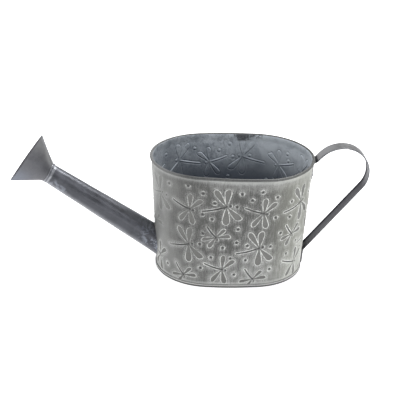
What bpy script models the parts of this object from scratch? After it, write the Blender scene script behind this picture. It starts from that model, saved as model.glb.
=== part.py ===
"""Oval sheet-metal watering can with a long spout, a fan-shaped rose and a strap handle.

Frame: metres, +Z up, origin under the middle of the base plate.
+X points to the handle, -X to the spout, so the XZ plane is the can's plane of symmetry.
Sizes below are in millimetres and are multiplied by MM where a mesh is made.
"""
import math

import bmesh
import bpy
from mathutils import Matrix, Vector

MM = 0.001
GAP = 0.3                     # clearance between two pieces that touch
CUT_MARGIN = 20.0             # how far a cutting block reaches past the can
PIN_REACH = 4.0               # how far a hole's cutter reaches either side of the sheet
SMOOTH_ANGLE = math.radians(35.0)
METALLIC = 0.85

# Can wall: a tapered oval, measured on the outer face of the sheet.
WALL_HEIGHT = 133.2
WALL_SHEET = 0.6
BASE_HALF_LENGTH = 82.1
RIM_HALF_LENGTH = 89.6
BASE_HALF_DEPTH = 60.2
RIM_HALF_DEPTH = 65.9
END_RATIO = 0.98              # radius of the round ends over the half depth
END_STEPS = 12                # facets in each quarter of the oval, round end and long side
SIDE_STEPS = 3

# Rolled rim: the top of the wall steps inward and is curled outward over a wire.
CURL_RADIUS = 1.65            # outer radius of the curl, centred above the wall's outer face
CURL_STEPS = 8
CURL_END = math.radians(-95.0)
CURL_HEIGHT = WALL_HEIGHT - CURL_RADIUS
STEP_LOW = 4.2                # the inward step starts and ends this far below the curl's middle
STEP_HIGH = 1.0
WIRE_RADIUS = CURL_RADIUS - WALL_SHEET - GAP
WIRE_SIDES = 8

# Base pan: a flat plate whose edge is turned up outside the wall.
PAN_SHEET = 0.8
PAN_FLANGE_HEIGHT = 3.4
PAN_BEVEL = 0.4

# Spout: a tapered tube in the plane of symmetry.
SPOUT_RISE = math.radians(34.2)
SPOUT_NECK = (-201.8, 110.8)  # where the tube enters the collar, x and z of its axis
SPOUT_LENGTH = 156.0
SPOUT_INSERT = 4.0            # how far the tube runs on inside the rose
SPOUT_NECK_RADIUS = 10.65
SPOUT_ROOT_RADIUS = 15.0
SPOUT_SHEET = 0.7
SPOUT_SIDES = 32
SPOUT_STUB = 2.4              # how far the tube stands out inside the wall
SOLDER_WIDTH = 2.6
SOLDER_HEIGHT = 1.4
SOLDER_BLANK = 31.0           # length of the ring before it is trimmed to the wall

# Rose: a flattened cone that fans out from the neck to a long narrow mouth.
COLLAR_RADIUS = 12.1
COLLAR_LENGTH = 2.6
COLLAR_ROUND = 0.6
ROSE_START = 2.3              # along the spout's axis, past the end of the visible tube
ROSE_SHIFT = 0.8              # the rose sits this far above the spout's axis
ROSE_LENGTH = 27.2
ROSE_NECK_RADIUS = 12.6
ROSE_MOUTH_HALF_LENGTH = 31.9
ROSE_MOUTH_HALF_WIDTH = 4.6
ROSE_SHEET = 0.7
ROSE_SIDES = 48
ROSE_RINGS = 6
ROSE_EASE = 1.25              # above 1 the rose flattens early, near the neck
SIEVE_RECESS = 2.6
SIEVE_SHEET = 0.7
SIEVE_HOLE_RADIUS = 0.9
SIEVE_HOLE_PITCH = 4.4
SIEVE_HOLE_REACH = 22.0
SIEVE_HOLE_SIDES = 8
SIEVE_ROW_OFFSET = 1.3

# Handle: one long strap with hemmed edges.
STRAP_HALF_WIDTH = 8.5
STRAP_SHEET = 0.7
STRAP_EDGE = 0.3              # rounding of the strap's edges
STRAP_EASE = 8.0              # the strap takes its full section this far off the wall
HEM_DEPTH = 1.45
HEM_WIDTH = 2.2
TAB_TOP_END = 108.0           # height of the upper tab's free end
TAB_LOW_END = 8.0             # height of the lower tab's free end
LOOP_TOP = 145.2              # height of the strap's outer face at the top of the loop
LOOP_RISE = math.radians(54.0)
LOOP_FALL = math.radians(51.3)
LOOP_START = (96.5, 133.2)    # a point on the rising run
LOOP_RETURN = (116.0, 59.4)   # a point on the straight run back to the base
LOOP_RADII = (14.0, 33.0, 30.0, 5.0)
STRAP_STEP = 4.0              # longest step along a bend
STRAP_MIN_STEP = 0.8          # points of the path closer than this are merged

# Rivets that hold the two tabs of the strap.
RIVET_SHANK_RADIUS = 1.2
RIVET_HEAD_RADIUS = 2.3
RIVET_HEAD_HEIGHT = 0.6
RIVET_DOME = ((0.9, 0.6), (0.55, 1.0))  # shares of the head's radius and height
RIVET_SPACING = 4.0           # half the distance between the two rivets of a tab
RIVET_UPPER_HEIGHT = 111.4
RIVET_LOWER_HEIGHT = 11.6
RIVET_SIDES = 16

SPOUT_OUT = Vector((-math.cos(SPOUT_RISE), 0.0, math.sin(SPOUT_RISE)))
SPOUT_ACROSS = Vector((math.sin(SPOUT_RISE), 0.0, math.cos(SPOUT_RISE)))


# ---------------------------------------------------------------- scene and material helpers

def clear_scene():
    for item in list(bpy.data.objects):
        bpy.data.objects.remove(item, do_unlink=True)


def metal(name, colour, roughness):
    """A Principled metal; an existing material of that name is used again."""
    material = bpy.data.materials.get(name)
    if material is None:
        material = bpy.data.materials.new(name)
    material.use_nodes = True
    shader = material.node_tree.nodes["Principled BSDF"]
    shader.inputs["Base Color"].default_value = (*colour, 1.0)
    shader.inputs["Roughness"].default_value = roughness
    shader.inputs["Metallic"].default_value = METALLIC
    return material


def embossed_zinc():
    return metal("embossed_zinc", (0.33, 0.33, 0.31), 0.55)


def dark_zinc():
    return metal("dark_zinc", (0.13, 0.14, 0.16), 0.42)


def strap_zinc():
    return metal("strap_zinc", (0.16, 0.16, 0.17), 0.45)


def steel():
    return metal("steel", (0.35, 0.35, 0.36), 0.4)


def solder():
    return metal("solder", (0.45, 0.46, 0.48), 0.38)


def make_object(name, mesh_data, material):
    """Link a bmesh, given in millimetres, as one named object with faces pointing out."""
    bmesh.ops.scale(mesh_data, vec=(MM, MM, MM), verts=mesh_data.verts)
    bmesh.ops.recalc_face_normals(mesh_data, faces=mesh_data.faces)
    mesh = bpy.data.meshes.new(name)
    mesh_data.to_mesh(mesh)
    mesh_data.free()
    mesh.shade_smooth()
    mesh.set_sharp_from_angle(angle=SMOOTH_ANGLE)
    obj = bpy.data.objects.new(name, mesh)
    bpy.context.collection.objects.link(obj)
    if material is not None:
        obj.data.materials.append(material)
    return obj


def make_cutter(name, mesh_data):
    cutter = make_object(name, mesh_data, None)
    cutter.hide_render = True
    cutter.display_type = "WIRE"
    return cutter


def boolean(obj, cutter, operation):
    modifier = obj.modifiers.new(cutter.name, "BOOLEAN")
    modifier.operation = operation
    modifier.solver = "EXACT"
    modifier.object = cutter


# ---------------------------------------------------------------- shape helpers

def bridge(mesh_data, ring_a, ring_b):
    """Join two rings of vertices with quads."""
    count = len(ring_a)
    for i in range(count):
        j = (i + 1) % count
        mesh_data.faces.new((ring_a[i], ring_a[j], ring_b[j], ring_b[i]))


def loft(rings, wrap):
    """Skin a list of point rings; wrap joins the last ring to the first, else both ends are capped."""
    mesh_data = bmesh.new()
    rows = [[mesh_data.verts.new(point) for point in ring] for ring in rings]
    for row, following in zip(rows, rows[1:]):
        bridge(mesh_data, row, following)
    if wrap:
        bridge(mesh_data, rows[-1], rows[0])
    else:
        mesh_data.faces.new(rows[0])
        mesh_data.faces.new(reversed(rows[-1]))
    return mesh_data


def half_size(height):
    """Half length and half depth of the wall's outer face at a height."""
    share = height / WALL_HEIGHT
    half_length = BASE_HALF_LENGTH + (RIM_HALF_LENGTH - BASE_HALF_LENGTH) * share
    half_depth = BASE_HALF_DEPTH + (RIM_HALF_DEPTH - BASE_HALF_DEPTH) * share
    return half_length, half_depth


def oval_arcs(height):
    """The four-centre oval at a height: end arc radius and centre, side arc radius and centre, joint angle."""
    half_length, half_depth = half_size(height)
    end_radius = END_RATIO * half_depth
    end_centre = half_length - end_radius
    rise = half_depth - end_radius
    side_centre = (end_centre ** 2 - rise ** 2) / (2 * rise)
    side_radius = half_depth + side_centre
    return end_radius, end_centre, side_radius, side_centre, math.atan2(side_centre, end_centre)


def oval_ring(offset, height):
    """Points around the can at a height, moved outward from the wall's outer face by offset."""
    end_radius, end_centre, side_radius, side_centre, joint = oval_arcs(height)
    quarter = []
    for i in range(END_STEPS):
        angle = joint * i / END_STEPS
        quarter.append((end_centre + (end_radius + offset) * math.cos(angle),
                        (end_radius + offset) * math.sin(angle)))
    for i in range(SIDE_STEPS + 1):
        angle = joint + (math.pi / 2 - joint) * i / SIDE_STEPS
        quarter.append(((side_radius + offset) * math.cos(angle),
                        (side_radius + offset) * math.sin(angle) - side_centre))
    left = [(-x, y) for x, y in reversed(quarter[:-1])]
    half = quarter + left
    return [(x, y, height) for x, y in half] + [(-x, -y, height) for x, y in half[1:-1]]


def oval_solid(offset, low, high):
    """A solid block of the can's shape between two heights."""
    return loft([oval_ring(offset, low), oval_ring(offset, high)], wrap=False)


def oval_sweep(profile):
    """Carry a closed profile of (offset, height) points around the can."""
    return loft([oval_ring(offset, height) for offset, height in profile], wrap=True)


def circle(radius, count, start=0.0):
    step = math.tau / count
    return [(radius * math.cos(start + step * i), radius * math.sin(start + step * i)) for i in range(count)]


def spout_point(along, across, side):
    """A point in the spout's frame: along its axis from the neck, across it in XZ, and sideways in Y."""
    origin = Vector((SPOUT_NECK[0], 0.0, SPOUT_NECK[1]))
    return origin + along * SPOUT_OUT + across * SPOUT_ACROSS + side * Vector((0.0, 1.0, 0.0))


def spout_rings(stations):
    """Rings round the spout's axis for (along, radius) stations."""
    rings = []
    for along, radius in stations:
        rings.append([spout_point(along, x, y) for x, y in circle(radius, SPOUT_SIDES)])
    return rings


def spout_radius(along):
    """Outer radius of the tube at a distance from the neck, negative towards the can."""
    share = -along / SPOUT_LENGTH
    return SPOUT_NECK_RADIUS + (SPOUT_ROOT_RADIUS - SPOUT_NECK_RADIUS) * share


def wall_x(height, side=0.0):
    """Outer face of the wall at its +X end, at a height and at a distance from the middle plane."""
    end_radius, end_centre = oval_arcs(height)[:2]
    return end_centre + math.sqrt(end_radius ** 2 - side ** 2)


# ---------------------------------------------------------------- can

def wall_face(offset, radius):
    """One face of the sheet: up the wall, over the inward step and round the wire's curl."""
    points = [(offset, PAN_SHEET + GAP), (offset, CURL_HEIGHT - STEP_LOW), (-radius, CURL_HEIGHT - STEP_HIGH)]
    for i in range(CURL_STEPS + 1):
        angle = math.pi + (CURL_END - math.pi) * i / CURL_STEPS
        points.append((radius * math.cos(angle), CURL_HEIGHT + radius * math.sin(angle)))
    return points


def body_wall():
    """The oval wall with its curled rim and the hole behind the spout."""
    inside = wall_face(-WALL_SHEET, CURL_RADIUS)
    outside = wall_face(0.0, CURL_RADIUS - WALL_SHEET)
    wall = make_object("body_wall", oval_sweep(inside + outside[::-1]), embossed_zinc())
    stations = [(along, spout_radius(along) + GAP) for along in (-SPOUT_LENGTH, -SPOUT_LENGTH / 2)]
    cutter = make_cutter("cut_spout_hole", loft(spout_rings(stations), wrap=False))
    boolean(wall, cutter, "DIFFERENCE")
    for place in rivet_places():
        boolean(wall, rivet_cutter(place), "DIFFERENCE")
    return wall


def rim_wire():
    """The wire inside the rolled rim."""
    profile = [(x, CURL_HEIGHT + z) for x, z in circle(WIRE_RADIUS, WIRE_SIDES)]
    return make_object("rim_wire", oval_sweep(profile), steel())


def base_pan():
    """The base plate with its edge turned up round the foot of the wall."""
    outer = GAP + PAN_SHEET
    sections = [(outer - PAN_BEVEL, 0.0), (outer, PAN_BEVEL), (outer, PAN_FLANGE_HEIGHT - PAN_BEVEL / 2),
                (outer - PAN_BEVEL / 2, PAN_FLANGE_HEIGHT), (GAP, PAN_FLANGE_HEIGHT), (GAP, PAN_SHEET)]
    rings = [oval_ring(offset, height) for offset, height in sections]
    return make_object("base_pan", loft(rings, wrap=False), embossed_zinc())


# ---------------------------------------------------------------- spout and rose

def spout_tube():
    """The tapered tube; its lower end passes the wall and follows the wall's curve inside."""
    root = -SPOUT_LENGTH
    tip = SPOUT_INSERT
    stations = [(root, spout_radius(root)), (tip, spout_radius(tip)),
                (tip, spout_radius(tip) - SPOUT_SHEET), (root, spout_radius(root) - SPOUT_SHEET)]
    tube = make_object("spout_tube", loft(spout_rings(stations), wrap=True), dark_zinc())
    trim = oval_solid(-WALL_SHEET - SPOUT_STUB, -CUT_MARGIN, WALL_HEIGHT)
    boolean(tube, make_cutter("cut_spout_root", trim), "DIFFERENCE")
    return tube


def spout_solder():
    """The ring of solder that fills the corner between tube and wall inside the can."""
    root = -SPOUT_LENGTH
    tip = SOLDER_BLANK - SPOUT_LENGTH
    stations = []
    for along, grow in ((root, GAP), (tip, GAP), (tip, SOLDER_WIDTH), (root, SOLDER_WIDTH)):
        stations.append((along, spout_radius(along) + grow))
    ring = make_object("spout_solder", loft(spout_rings(stations), wrap=True), solder())
    near = oval_solid(-WALL_SHEET - GAP, -CUT_MARGIN, WALL_HEIGHT)
    far = oval_solid(-WALL_SHEET - GAP - SOLDER_HEIGHT, -2 * CUT_MARGIN, WALL_HEIGHT + CUT_MARGIN)
    boolean(ring, make_cutter("keep_solder", near), "INTERSECT")
    boolean(ring, make_cutter("cut_solder", far), "DIFFERENCE")
    return ring


def rose_collar():
    """The ferrule that joins the rose to the tube."""
    front = ROSE_START - GAP
    back = front - COLLAR_LENGTH
    inner = spout_radius(back) + GAP
    stations = [(back, inner), (front, inner), (front, COLLAR_RADIUS - COLLAR_ROUND),
                (front - COLLAR_ROUND, COLLAR_RADIUS), (back + COLLAR_ROUND, COLLAR_RADIUS),
                (back, COLLAR_RADIUS - COLLAR_ROUND)]
    return make_object("rose_collar", loft(spout_rings(stations), wrap=True), dark_zinc())


def rose_section(share, inset):
    """Half length and half width of the rose at a share of its length, inside the sheet by inset."""
    half_length = ROSE_NECK_RADIUS + (ROSE_MOUTH_HALF_LENGTH - ROSE_NECK_RADIUS) * share
    ease = 1.0 - (1.0 - share) ** ROSE_EASE
    half_width = ROSE_NECK_RADIUS + (ROSE_MOUTH_HALF_WIDTH - ROSE_NECK_RADIUS) * ease
    return half_length - inset * (1.0 + share), half_width - inset


def rose_ring(share, inset):
    """One ring of the rose's skin."""
    half_length, half_width = rose_section(share, inset)
    along = ROSE_START + ROSE_LENGTH * share
    unit = circle(1.0, ROSE_SIDES)
    return [spout_point(along, ROSE_SHIFT + half_length * c, half_width * s) for c, s in unit]


def rose_shell():
    """The fan-shaped shell, open at the neck and at the mouth."""
    shares = [i / (ROSE_RINGS - 1) for i in range(ROSE_RINGS)]
    outer = [rose_ring(share, 0.0) for share in shares]
    inner = [rose_ring(share, ROSE_SHEET) for share in reversed(shares)]
    return make_object("rose_shell", loft(outer + inner, wrap=True), dark_zinc())


def rose_sieve():
    """The perforated plate set a little inside the mouth of the rose."""
    front = (ROSE_LENGTH - SIEVE_RECESS) / ROSE_LENGTH
    back = (ROSE_LENGTH - SIEVE_RECESS - SIEVE_SHEET) / ROSE_LENGTH
    clear = ROSE_SHEET + GAP
    half_length, half_width = rose_section(back, clear)
    unit = circle(1.0, ROSE_SIDES)
    rings = []
    for share in (back, front):
        along = ROSE_START + ROSE_LENGTH * share
        rings.append([spout_point(along, ROSE_SHIFT + (half_length - GAP) * c, (half_width - GAP) * s)
                      for c, s in unit])
    plate = make_object("rose_sieve", loft(rings, wrap=False), dark_zinc())
    boolean(plate, sieve_cutter(), "DIFFERENCE")
    return plate


def sieve_cutter():
    """Two staggered rows of round pins that pierce the sieve."""
    cutter = bmesh.new()
    middle = ROSE_START + ROSE_LENGTH - SIEVE_RECESS
    unit = circle(SIEVE_HOLE_RADIUS, SIEVE_HOLE_SIDES)
    count = int(2 * SIEVE_HOLE_REACH / SIEVE_HOLE_PITCH)
    for row, side in enumerate((SIEVE_ROW_OFFSET, -SIEVE_ROW_OFFSET)):
        for i in range(count + 1 - row):
            across = ROSE_SHIFT - SIEVE_HOLE_REACH + SIEVE_HOLE_PITCH * (i + 0.5 * row)
            ends = []
            for along in (middle - PIN_REACH, middle + PIN_REACH):
                ends.append([cutter.verts.new(spout_point(along, across + c, side + s)) for c, s in unit])
            bridge(cutter, ends[0], ends[1])
            cutter.faces.new(ends[0])
            cutter.faces.new(reversed(ends[1]))
    return make_cutter("cut_sieve_holes", cutter)


# ---------------------------------------------------------------- handle

def rounded_path(corners, radii):
    """Points of a path with straight runs and a round bend at each inner corner."""
    path = [corners[0]]
    for before, corner, after, radius in zip(corners, corners[1:], corners[2:], radii):
        to_before = (before - corner).normalized()
        to_after = (after - corner).normalized()
        half_angle = to_before.angle(to_after) / 2
        reach = radius / math.tan(half_angle)
        centre = corner + (to_before + to_after).normalized() * (radius / math.sin(half_angle))
        start = corner + to_before * reach - centre
        turn = start.angle_signed(corner + to_after * reach - centre)
        steps = max(3, math.ceil(abs(turn) * radius / STRAP_STEP))
        for i in range(steps + 1):
            point = centre + Matrix.Rotation(-turn * i / steps, 2) @ start
            if (point - path[-1]).length > STRAP_MIN_STEP:
                path.append(point)
    path.append(corners[-1])
    return path


def strap_corners():
    """Corners in XZ of the strap's face that lies on the wall above and shows outside on the loop."""
    rise = Vector((math.cos(LOOP_RISE), math.sin(LOOP_RISE)))
    fall = Vector((math.cos(LOOP_FALL), math.sin(LOOP_FALL)))
    start = Vector(LOOP_START)
    back = Vector(LOOP_RETURN)
    leave_height = start.y - (start.x - wall_x(TAB_TOP_END) - GAP) * math.tan(LOOP_RISE)
    lower_off = GAP + STRAP_SHEET
    land_height = back.y - (back.x - wall_x(TAB_LOW_END) - lower_off) * math.tan(LOOP_FALL)
    return [Vector((wall_x(TAB_TOP_END) + GAP, TAB_TOP_END)),
            Vector((wall_x(leave_height) + GAP, leave_height)),
            start + rise * (LOOP_TOP - start.y) / rise.y,
            back + fall * (LOOP_TOP - back.y) / fall.y,
            Vector((wall_x(land_height) + lower_off, land_height)),
            Vector((wall_x(TAB_LOW_END) + lower_off, TAB_LOW_END))]


def strap_section(hem):
    """Cross-section of the strap as (side, depth) points; hem is the depth of the folded edge."""
    side = STRAP_HALF_WIDTH
    fold = side - HEM_WIDTH
    edge = STRAP_EDGE
    half = [(0.0, 0.0), (side / 2, 0.0), (side - edge, 0.0), (side, -edge), (side, edge - hem),
            (side - edge, -hem), (fold + edge, -hem), (fold, -STRAP_SHEET),
            (side / 2, -STRAP_SHEET), (0.0, -STRAP_SHEET)]
    return half + [(-y, depth) for y, depth in reversed(half[1:-1])]


def wall_fall(height, side):
    """How far the wall's end face curves back at a distance from the middle plane."""
    return wall_x(height) - wall_x(height, side)


def handle_strap():
    """The strap: flat tabs bent to the wall at both ends and a hemmed loop between them."""
    path = rounded_path(strap_corners(), LOOP_RADII)
    rings = []
    for i, point in enumerate(path):
        before = path[max(i - 1, 0)]
        after = path[min(i + 1, len(path) - 1)]
        run = (after - before).normalized()
        outward = Vector((-run.y, run.x))
        near_wall = point.x - wall_x(point.y) - GAP - STRAP_SHEET
        loose = min(max(near_wall / STRAP_EASE, 0.0), 1.0)
        hem = STRAP_SHEET + (HEM_DEPTH - STRAP_SHEET) * loose
        ring = []
        for side, depth in strap_section(hem):
            fall = wall_fall(min(max(point.y, 0.0), WALL_HEIGHT), side) * (1.0 - loose)
            place = point + outward * depth
            ring.append((place.x - fall, side, place.y))
        rings.append(ring)
    strap = make_object("handle_strap", loft(rings, wrap=False), strap_zinc())
    for place in rivet_places():
        boolean(strap, rivet_cutter(place), "DIFFERENCE")
    return strap


# ---------------------------------------------------------------- rivets

def rivet_places():
    """Name, height and side of each rivet."""
    places = []
    for level, height in (("upper", RIVET_UPPER_HEIGHT), ("lower", RIVET_LOWER_HEIGHT)):
        for hand, side in (("front", -RIVET_SPACING), ("back", RIVET_SPACING)):
            places.append((level + "_" + hand, height, side))
    return places


def rivet_frame(height, side):
    """Matrix whose Z axis points out of the wall's end face at a rivet, with its origin on that face."""
    step = 0.5
    origin = Vector((wall_x(height, side), side, height))
    up = Vector((wall_x(height + step, side), side, height + step)) - origin
    across = Vector((wall_x(height, side + step), side + step, height)) - origin
    outward = across.cross(up).normalized()
    up.normalize()
    across = up.cross(outward)
    return Matrix.Translation(origin) @ Matrix((up, across, outward)).transposed().to_4x4()


def turned(profile, frame, sides):
    """Turn a (radius, height) profile about the local Z axis of a frame and cap both ends."""
    mesh_data = bmesh.new()
    rings = []
    for radius, height in profile:
        rings.append([mesh_data.verts.new(frame @ Vector((x, y, height))) for x, y in circle(radius, sides)])
    for ring, following in zip(rings, rings[1:]):
        bridge(mesh_data, ring, following)
    mesh_data.faces.new(rings[0])
    mesh_data.faces.new(reversed(rings[-1]))
    return mesh_data


def rivet_cutter(place):
    """The hole for one rivet, shared by the wall and the strap."""
    name, height, side = place
    existing = bpy.data.objects.get("cut_rivet_" + name)
    if existing is not None:
        return existing
    radius = RIVET_SHANK_RADIUS + GAP
    pin = turned([(radius, -PIN_REACH), (radius, PIN_REACH)], rivet_frame(height, side), RIVET_SIDES)
    return make_cutter("cut_rivet_" + name, pin)


def rivet(place):
    """A rivet with a low head outside and a closed tail inside the can."""
    name, height, side = place
    outer = GAP + STRAP_SHEET + GAP
    inner = -WALL_SHEET - GAP
    shank = RIVET_SHANK_RADIUS
    head = RIVET_HEAD_RADIUS
    dome = [(head * wide, RIVET_HEAD_HEIGHT * tall) for wide, tall in RIVET_DOME]
    tail = [(radius, inner - rise) for radius, rise in reversed(dome)]
    cap = [(radius, outer + rise) for radius, rise in dome]
    profile = tail + [(head, inner), (shank, inner), (shank, outer), (head, outer)] + cap
    mesh_data = turned(profile, rivet_frame(height, side), RIVET_SIDES)
    return make_object("rivet_" + name, mesh_data, steel())


def build():
    clear_scene()
    body_wall()
    rim_wire()
    base_pan()
    spout_tube()
    spout_solder()
    rose_collar()
    rose_shell()
    rose_sieve()
    handle_strap()
    for place in rivet_places():
        rivet(place)


build()
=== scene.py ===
"""Looks of an oval embossed watering can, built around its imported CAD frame.

Frame: metres, +Z up, origin under the middle of the base, +X to the handle, -X to the spout.
Sizes below are millimetres and are multiplied by MM where a mesh is made.
"""
import math

import bpy
import numpy as np
from mathutils import Matrix, Vector


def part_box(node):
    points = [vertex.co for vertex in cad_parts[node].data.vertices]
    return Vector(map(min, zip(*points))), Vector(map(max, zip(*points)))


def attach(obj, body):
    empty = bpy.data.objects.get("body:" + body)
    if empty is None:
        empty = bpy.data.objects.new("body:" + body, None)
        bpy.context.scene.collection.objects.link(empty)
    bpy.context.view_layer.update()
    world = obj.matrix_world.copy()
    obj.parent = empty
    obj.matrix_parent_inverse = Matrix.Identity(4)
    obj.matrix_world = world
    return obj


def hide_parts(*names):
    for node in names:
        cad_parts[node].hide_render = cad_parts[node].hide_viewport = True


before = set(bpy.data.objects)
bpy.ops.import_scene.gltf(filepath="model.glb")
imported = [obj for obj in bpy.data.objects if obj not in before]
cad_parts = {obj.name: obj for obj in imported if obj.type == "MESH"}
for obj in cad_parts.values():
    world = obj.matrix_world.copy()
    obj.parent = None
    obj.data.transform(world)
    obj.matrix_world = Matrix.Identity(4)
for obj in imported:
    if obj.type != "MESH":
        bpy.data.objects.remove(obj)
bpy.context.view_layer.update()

MM = 0.001
TAU = math.tau


def cad_size(node):
    """Lowest and highest corner of a CAD node in millimetres."""
    low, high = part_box(node)
    return low / MM, high / MM


# ---------------------------------------------------------------- sizes

GAP = 0.3                       # clearance between pieces that touch
WALL_SHEET = 0.6
CURL_RADIUS = 1.65              # outer radius of the rolled rim
PAN_EDGE = 1.1                  # the pan's flange stands this far outside the wall
PAN_SHEET = 0.8
PAN_RISE = 0.9                  # the pan's middle panel is raised by this much
PAN_PANEL_EDGE = -7.5           # its edge, measured from the wall's outer face
PAN_MIDDLE = -55.0              # the pan's cap starts this far inside the wall
PAN_LIP = 0.45                  # radius of the rolled lip of the flange
PAN_HEIGHT = cad_size("base_pan")[1].z
WALL_FOOT, WALL_TOP = cad_size("body_wall")[0].z, cad_size("body_wall")[1].z
CURL_HEIGHT = WALL_TOP - CURL_RADIUS
RIM_HALF_LENGTH = cad_size("body_wall")[1].x - CURL_RADIUS
RIM_HALF_DEPTH = cad_size("body_wall")[1].y - CURL_RADIUS
PAN_HALF_LENGTH = cad_size("base_pan")[1].x - PAN_EDGE
PAN_HALF_DEPTH = cad_size("base_pan")[1].y - PAN_EDGE
END_RATIO = 0.98                # radius of the round ends over the half depth
PERIMETER = 484.5               # round the wall at mid height
STEP_LOW, STEP_HIGH = 8.0, 1.0  # the step under the rim, measured down from the curl's middle
STEP_ROWS = 5
SAG_START = 90.0                # the unevenness of the rim fades out down to this height
CURL_END = math.radians(-95.0)

SPOUT_RISE = math.radians(34.2)
SPOUT_NECK = (-201.8, 110.8)    # x and z of the axis where the tube enters the collar
SPOUT_LENGTH = 156.0
SPOUT_INSERT = 0.5
SPOUT_NECK_RADIUS = 10.65
SPOUT_ROOT_RADIUS = 15.0
SPOUT_SHEET = 0.7
SPOUT_STUB = 2.4                # the tube reaches this far inside the wall
SOLDER_WIDTH, SOLDER_DEPTH = 2.6, 1.5

COLLAR_RADIUS = 11.6
COLLAR_LENGTH = 3.4
NECK_LEAN = 0.10
ROSE_START = 2.3
ROSE_SHIFT = 0.8
ROSE_LENGTH = 27.2
ROSE_NECK_RADIUS = 11.9
ROSE_MOUTH_HALF_LENGTH = 31.9
ROSE_MOUTH_HALF_WIDTH = 4.6
ROSE_SHEET = 0.7
SIEVE_RECESS = 2.6
SIEVE_SHEET = 0.7
SIEVE_HOLE_RADIUS = 0.8
SIEVE_HOLE_PITCH = 3.9
SIEVE_HOLE_REACH = 17.55        # the outermost hole's distance from the middle
SIEVE_ROW_OFFSET = 1.15

STRAP_HALF_WIDTH = 8.5
STRAP_SHEET = 0.7
STRAP_STEP = 1.2                # distance between the strap's cross-sections
HEM_DEPTH = 1.45
HEM_WIDTH = 2.2
TAB_TOP_END, TAB_LOW_END = 108.0, 4.0
TAB_LEAVE = 126.5               # the upper tab bends away from the wall at this height
LOOP_TOP = 145.2
LOOP_RISE, LOOP_FALL = math.radians(54.0), math.radians(51.3)
LOOP_START = Vector((96.5, 133.2))
LOOP_RETURN = Vector((116.0, 59.4))
LOOP_LEAD = 5.1                 # the strap is straight this far before the loop's start
LOOP_RADII = (2.5, 4.0, 33.0, 30.0, 5.0)
HEM_FADE = 8.0                  # the hems reach their full depth this far from the wall
# Painted shade on the strap by its joints with the wall starts this far below the loop's start and return,
# deepening over the second value.
CREVICE_DROP, CREVICE_FADE = 2.6, 1.0
LANDING_DROP, LANDING_FADE = 14.0, 22.0

RIVET_SPACING = 4.0
RIVET_HEAD_RADIUS, RIVET_HEAD_HEIGHT, RIVET_SHANK_RADIUS = 2.3, 0.6, 1.2

WALL_COLUMNS = 960              # cells round the can
WALL_STEP = 0.52                # height of a cell on the outer face
WALL_STEP_INSIDE = 0.6
BAND_WIDTH = 7.0                # the paler band under the rim, partly whitewash and partly a painted highlight on the step, starts this far below the curl's middle
LINE_UNDER_RIM = 4.2            # a brighter painted highlight fills the corner under the bead down to here

SPOUT_OUT = Vector((-math.cos(SPOUT_RISE), 0.0, math.sin(SPOUT_RISE)))
SPOUT_ACROSS = Vector((math.sin(SPOUT_RISE), 0.0, math.cos(SPOUT_RISE)))


# ---------------------------------------------------------------- meshes from grids of points

def circle(count):
    """Evenly spaced angles round a full turn."""
    return np.linspace(0, TAU, count, endpoint=False)


def turns_round(count):
    """A row of evenly spaced turns round the oval."""
    return np.arange(count)[None, :] / count


def link_object(name, data):
    """A new object in the scene that shows a mesh, camera or light."""
    obj = bpy.data.objects.new(name, data)
    bpy.context.collection.objects.link(obj)
    return obj


def grid_faces(rows, columns, wrap_rows):
    """Corner indices of the quads of a grid that always closes on itself along its columns."""
    row = np.arange(rows if wrap_rows else rows - 1)[:, None]
    column = np.arange(columns)[None, :]
    below = row * columns
    above = (row + 1) % rows * columns
    beside = (column + 1) % columns
    corners = np.broadcast_arrays(below + column, below + beside, above + beside, above + column)
    return np.stack(corners, axis=-1).reshape(-1, 4)


def grid_object(name, points, *materials, wrap_rows=True, smooth=35.0):
    """A closed mesh from a (rows, columns, 3) array in millimetres; open row ends are capped."""
    rows, columns = points.shape[:2]
    quads = grid_faces(rows, columns, wrap_rows)
    corners = quads.ravel()
    starts = np.arange(len(quads)) * 4
    if not wrap_rows:
        last = (rows - 1) * columns
        caps = np.concatenate([np.arange(columns)[::-1], last + np.arange(columns)])
        starts = np.concatenate([starts, [len(corners), len(corners) + columns]])
        corners = np.concatenate([corners, caps])
    mesh = bpy.data.meshes.new(name)
    mesh.vertices.add(rows * columns)
    mesh.loops.add(len(corners))
    mesh.polygons.add(len(starts))
    mesh.vertices.foreach_set("co", (points.reshape(-1) * MM).astype(np.float32))
    mesh.loops.foreach_set("vertex_index", corners.astype(np.int32))
    mesh.polygons.foreach_set("loop_start", starts.astype(np.int32))
    mesh.update(calc_edges=True)
    mesh.validate()
    if signed_volume(mesh) < 0.0:
        mesh.flip_normals()
    mesh.shade_smooth()
    mesh.set_sharp_from_angle(angle=math.radians(smooth))
    for material in materials:
        mesh.materials.append(material)
    return link_object(name, mesh)


def signed_volume(mesh):
    """Volume of a closed mesh, negative when its faces point inward."""
    mesh.calc_loop_triangles()
    corners = np.empty(len(mesh.loop_triangles) * 3, np.int32)
    mesh.loop_triangles.foreach_get("vertices", corners)
    points = np.empty(len(mesh.vertices) * 3, np.float32)
    mesh.vertices.foreach_get("co", points)
    a, b, c = points.reshape(-1, 3)[corners].reshape(-1, 3, 3).transpose(1, 0, 2).astype(float)
    return float(np.einsum("ij,ij->i", a, np.cross(b, c)).sum())


def paint(obj, name, values):
    """Store rows of up to 3 values, one for each point, as a colour attribute that materials read."""
    colour = np.ones((len(obj.data.vertices), 4), np.float32)
    values = values.reshape(len(colour), -1)
    colour[:, :values.shape[1]] = values
    layer = obj.data.attributes.new(name, "FLOAT_COLOR", "POINT")
    layer.data.foreach_set("color", colour.ravel())


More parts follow.
